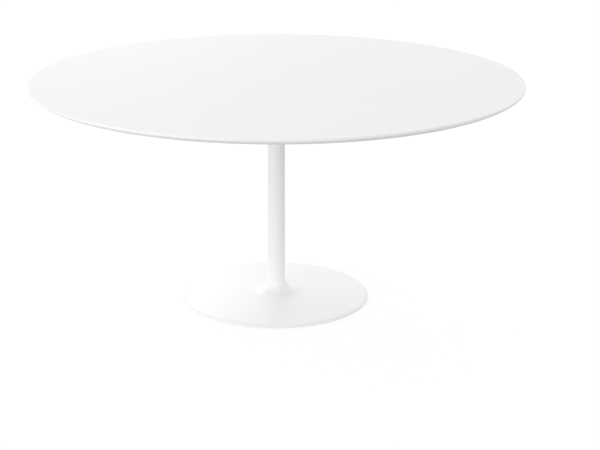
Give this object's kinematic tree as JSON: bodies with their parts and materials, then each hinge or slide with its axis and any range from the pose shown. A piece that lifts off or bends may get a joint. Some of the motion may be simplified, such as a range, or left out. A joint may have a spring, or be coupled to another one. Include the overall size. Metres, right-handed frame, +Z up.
{
  "type": "round pedestal table",
  "caption": "Round table: a thin disc top with an undercut edge on a slim tapered column, a trumpet collar and a flat disc base, with a steel spider under the top and levelling feet.",
  "frame": {"origin": "on the floor, on the table's vertical axis", "axes": "+Z up along the column, +X to the right and +Y to the back of the table"},
  "size_m": [1.6, 1.6, 0.75],
  "materials": {
    "top_lacquer": "matt white lacquer on fibreboard",
    "white_coat": "satin white powder coat, fine orange peel",
    "frame_coat": "satin white powder coat",
    "ballast_iron": "sand-cast, black primer",
    "zinc": "bright zinc plating",
    "insert_brass": "machined",
    "cap_plastic": "moulded, fine texture",
    "foot_nylon": "moulded nylon"
  },
  "bodies": {
    "table": {"tabletop": "top_lacquer", "top_plate": "frame_coat", "centring_ring": "frame_coat", "column_tube": "white_coat", "foot_collar": "white_coat", "base_cover": "white_coat", "ballast_plate": "ballast_iron", "base_hub": "zinc", "hub_screw_1": "zinc", "hub_screw_2": "zinc", "hub_screw_3": "zinc", "hub_screw_4": "zinc", "tie_rod": "zinc", "top_washer": "zinc", "top_nut": "zinc", "base_washer": "zinc", "lock_washer": "zinc", "base_nut": "zinc", "arm_1": "frame_coat", "arm_cap_1": "cap_plastic", "arm_2": "frame_coat", "arm_cap_2": "cap_plastic", "arm_3": "frame_coat", "arm_cap_3": "cap_plastic", "arm_4": "frame_coat", "arm_cap_4": "cap_plastic", "screw_1": "zinc", "insert_1": "insert_brass", "screw_2": "zinc", "insert_2": "insert_brass", "screw_3": "zinc", "insert_3": "insert_brass", "screw_4": "zinc", "insert_4": "insert_brass", "screw_5": "zinc", "insert_5": "insert_brass", "screw_6": "zinc", "insert_6": "insert_brass", "screw_7": "zinc", "insert_7": "insert_brass", "screw_8": "zinc", "insert_8": "insert_brass"},
    "pad_1": {"foot_pad_1": "foot_nylon"},
    "stud_1": {"foot_stud_1": "zinc"},
    "pad_2": {"foot_pad_2": "foot_nylon"},
    "stud_2": {"foot_stud_2": "zinc"},
    "pad_3": {"foot_pad_3": "foot_nylon"},
    "stud_3": {"foot_stud_3": "zinc"},
    "pad_4": {"foot_pad_4": "foot_nylon"},
    "stud_4": {"foot_stud_4": "zinc"}
  },
  "joints": [
    {"name": "foot_1_lift", "type": "slide", "parent": "table", "child": "pad_1", "axis": [0, 0, -1], "range_m": [0, 0.003]},
    {"name": "foot_1_turn", "type": "hinge", "parent": "pad_1", "child": "stud_1", "pos_m": [0.19658, 0.19658, 0.004], "axis": [0, 0, -1], "range_deg": [0, 1080]},
    {"name": "foot_2_lift", "type": "slide", "parent": "table", "child": "pad_2", "axis": [0, 0, -1], "range_m": [0, 0.003]},
    {"name": "foot_2_turn", "type": "hinge", "parent": "pad_2", "child": "stud_2", "pos_m": [-0.19658, 0.19658, 0.004], "axis": [0, 0, -1], "range_deg": [0, 1080]},
    {"name": "foot_3_lift", "type": "slide", "parent": "table", "child": "pad_3", "axis": [0, 0, -1], "range_m": [0, 0.003]},
    {"name": "foot_3_turn", "type": "hinge", "parent": "pad_3", "child": "stud_3", "pos_m": [-0.19658, -0.19658, 0.004], "axis": [0, 0, -1], "range_deg": [0, 1080]},
    {"name": "foot_4_lift", "type": "slide", "parent": "table", "child": "pad_4", "axis": [0, 0, -1], "range_m": [0, 0.003]},
    {"name": "foot_4_turn", "type": "hinge", "parent": "pad_4", "child": "stud_4", "pos_m": [0.19658, -0.19658, 0.004], "axis": [0, 0, -1], "range_deg": [0, 1080]}
  ],
  "couplings": [
    {"joint": "foot_1_turn", "follows": "foot_1_lift", "rad_per_m": 6283.2},
    {"joint": "foot_2_turn", "follows": "foot_2_lift", "rad_per_m": 6283.2},
    {"joint": "foot_3_turn", "follows": "foot_3_lift", "rad_per_m": 6283.2},
    {"joint": "foot_4_turn", "follows": "foot_4_lift", "rad_per_m": 6283.2}
  ]
}
